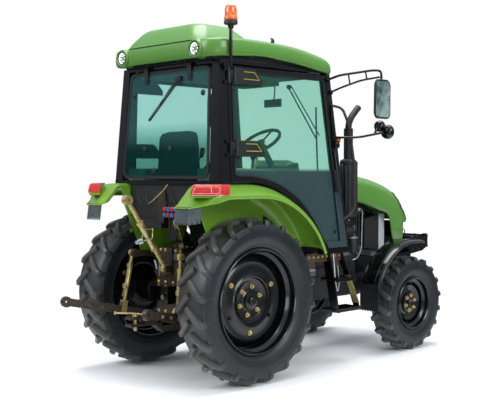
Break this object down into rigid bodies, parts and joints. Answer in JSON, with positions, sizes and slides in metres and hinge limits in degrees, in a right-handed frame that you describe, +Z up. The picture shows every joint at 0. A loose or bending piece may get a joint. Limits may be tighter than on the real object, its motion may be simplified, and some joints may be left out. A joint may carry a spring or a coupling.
{
  "type": "compact four-wheel-drive farm tractor with a closed cab",
  "caption": "Compact green farm tractor with a closed glass cab, four driven lugged tyres, a tilting bonnet and a rear three-point linkage.",
  "frame": {"origin": "on the ground under the middle of the whole tractor", "axes": "+Y forward in the direction of travel, +X to the tractor's right, +Z up"},
  "size_m": [1.9998, 3.7826, 2.7],
  "materials": {
    "tyre_rubber": "matte",
    "rim_black": "satin",
    "green_paint": "gloss",
    "black_paint": "satin",
    "cast_brown": "matte",
    "cab_glass": "tinted",
    "grey_plastic": "matte",
    "dark_plastic": "matte",
    "seat_fabric": "woven",
    "zinc_yellow": "yellow passivated",
    "bare_steel": "satin",
    "amber_lens": "clear",
    "red_lens": "clear",
    "lamp_lens": "clear",
    "mirror_face": "polished",
    "exhaust_grey": "matte"
  },
  "bodies": {
    "chassis": {"beacon": "amber_lens", "cab_floor": "black_paint", "cab_frame": "black_paint", "dashboard": "grey_plastic", "drawbar": "black_paint", "drawbar_pin": "zinc_yellow", "engine": "bare_steel", "exhaust": "exhaust_grey", "fan_shroud": "grey_plastic", "firewall": "black_paint", "front_axle": "cast_brown", "front_frame": "black_paint", "hydraulic_couplers": "bare_steel", "lift_housing": "cast_brown", "mirror_arms": "black_paint", "mirrors": "mirror_face", "mud_flaps": "dark_plastic", "prop_shaft": "bare_steel", "pto_guard": "black_paint", "radiator": "grey_plastic", "rear_fender_left": "green_paint", "rear_fender_right": "green_paint", "roof": "green_paint", "seat_back": "seat_fabric", "seat_cushion": "seat_fabric", "side_lamps": "dark_plastic", "steps": "black_paint", "tail_lamps": "red_lens", "transmission": "cast_brown", "weight_bracket": "black_paint", "windscreen": "cab_glass", "work_lamps": "lamp_lens"},
    "rear_wheel_left": {"rear_tyre_left": "tyre_rubber", "rear_rim_left": "rim_black"},
    "rear_wheel_right": {"rear_tyre_right": "tyre_rubber", "rear_rim_right": "rim_black"},
    "front_wheel_left": {"front_tyre_left": "tyre_rubber", "front_rim_left": "rim_black"},
    "front_wheel_right": {"front_tyre_right": "tyre_rubber", "front_rim_right": "rim_black"},
    "knuckle_left": {"knuckle_left": "black_paint", "front_fender_left": "black_paint"},
    "knuckle_right": {"knuckle_right": "black_paint", "front_fender_right": "black_paint"},
    "steering": {"steering_wheel": "dark_plastic"},
    "door_left": {"door_left": "black_paint", "door_glass_left": "cab_glass"},
    "door_right": {"door_right": "black_paint", "door_glass_right": "cab_glass"},
    "rear_window": {"rear_window": "cab_glass"},
    "bonnet": {"hood": "green_paint", "headlamps": "lamp_lens", "hood_grille": "dark_plastic"},
    "lift_arms": {"lift_arms": "black_paint"},
    "lift_rod_left": {"lift_rod_left": "zinc_yellow"},
    "lift_rod_right": {"lift_rod_right": "zinc_yellow"},
    "lower_link_left": {"lower_link_left": "bare_steel"},
    "lower_link_right": {"lower_link_right": "bare_steel"},
    "top_link": {"top_link": "zinc_yellow"},
    "pto": {"pto_shaft": "bare_steel"}
  },
  "joints": [
    {"name": "rear_wheel_left_spin", "type": "hinge", "parent": "chassis", "child": "rear_wheel_left", "pos_m": [-0.6, -0.95986, 0.6025], "axis": [-1, 0, 0], "continuous": true},
    {"name": "rear_wheel_right_spin", "type": "hinge", "parent": "chassis", "child": "rear_wheel_right", "pos_m": [0.6, -0.95986, 0.6025], "axis": [-1, 0, 0], "continuous": true},
    {"name": "steer_left", "type": "hinge", "parent": "chassis", "child": "knuckle_left", "pos_m": [-0.46, 0.96615, 0.4025], "axis": [0, 0, 1], "range_deg": [-30, 30]},
    {"name": "steer_right", "type": "hinge", "parent": "chassis", "child": "knuckle_right", "pos_m": [0.46, 0.96615, 0.4025], "axis": [0, 0, 1], "range_deg": [-30, 30]},
    {"name": "front_wheel_left_spin", "type": "hinge", "parent": "knuckle_left", "child": "front_wheel_left", "pos_m": [-0.592, 0.96615, 0.4025], "axis": [-1, 0, 0], "continuous": true},
    {"name": "front_wheel_right_spin", "type": "hinge", "parent": "knuckle_right", "child": "front_wheel_right", "pos_m": [0.592, 0.96615, 0.4025], "axis": [-1, 0, 0], "continuous": true},
    {"name": "steering_wheel_turn", "type": "hinge", "parent": "chassis", "child": "steering", "pos_m": [0, -0.23986, 1.78], "axis": [0, -0.5736, 0.8192], "range_deg": [-540, 540]},
    {"name": "door_left_open", "type": "hinge", "parent": "chassis", "child": "door_left", "pos_m": [-0.63099, -1.12485, 0.93059], "axis": [0.0454, 0, 0.999], "range_deg": [0, 80]},
    {"name": "door_right_open", "type": "hinge", "parent": "chassis", "child": "door_right", "pos_m": [0.63099, -1.12485, 0.93059], "axis": [0.0454, 0, -0.999], "range_deg": [0, 80]},
    {"name": "rear_window_open", "type": "hinge", "parent": "chassis", "child": "rear_window", "pos_m": [0, -1.2168, 2.318], "axis": [-1, 0, 0], "range_deg": [0, 55]},
    {"name": "bonnet_open", "type": "hinge", "parent": "chassis", "child": "bonnet", "pos_m": [0, 0.19914, 1.483], "axis": [1, 0, 0], "range_deg": [0, 55]},
    {"name": "hitch_lift", "type": "hinge", "parent": "chassis", "child": "lift_arms", "pos_m": [0, -1.08986, 0.905], "axis": [-1, 0, 0], "range_deg": [-38, 30]},
    {"name": "link_left_swing", "type": "hinge", "parent": "chassis", "child": "lower_link_left", "pos_m": [-0.225, -0.97986, 0.4], "axis": [-1, 0, 0], "range_deg": [-22, 18]},
    {"name": "link_right_swing", "type": "hinge", "parent": "chassis", "child": "lower_link_right", "pos_m": [0.225, -0.97986, 0.4], "axis": [-1, 0, 0], "range_deg": [-22, 18]},
    {"name": "rod_left_swing", "type": "hinge", "parent": "lift_arms", "child": "lift_rod_left", "pos_m": [-0.2845, -1.33138, 0.92019], "axis": [-1, 0, 0], "range_deg": [-44, 44]},
    {"name": "rod_right_swing", "type": "hinge", "parent": "lift_arms", "child": "lift_rod_right", "pos_m": [0.2845, -1.33138, 0.92019], "axis": [-1, 0, 0], "range_deg": [-44, 44]},
    {"name": "top_link_swing", "type": "hinge", "parent": "chassis", "child": "top_link", "pos_m": [0, -1.23985, 0.81], "axis": [1, 0, 0], "range_deg": [-12, 62]},
    {"name": "pto_spin", "type": "hinge", "parent": "chassis", "child": "pto", "pos_m": [0, -1.23185, 0.6], "axis": [0, -1, 0], "continuous": true}
  ],
  "couplings": [
    {"joint": "steer_right", "follows": "steer_left", "ratio": 1},
    {"joint": "steering_wheel_turn", "follows": "steer_left", "ratio": 18},
    {"joint": "link_left_swing", "follows": "hitch_lift", "ratio": 0.52},
    {"joint": "link_right_swing", "follows": "hitch_lift", "ratio": 0.52},
    {"joint": "rod_left_swing", "follows": "hitch_lift", "ratio": -1.11},
    {"joint": "rod_right_swing", "follows": "hitch_lift", "ratio": -1.11}
  ]
}
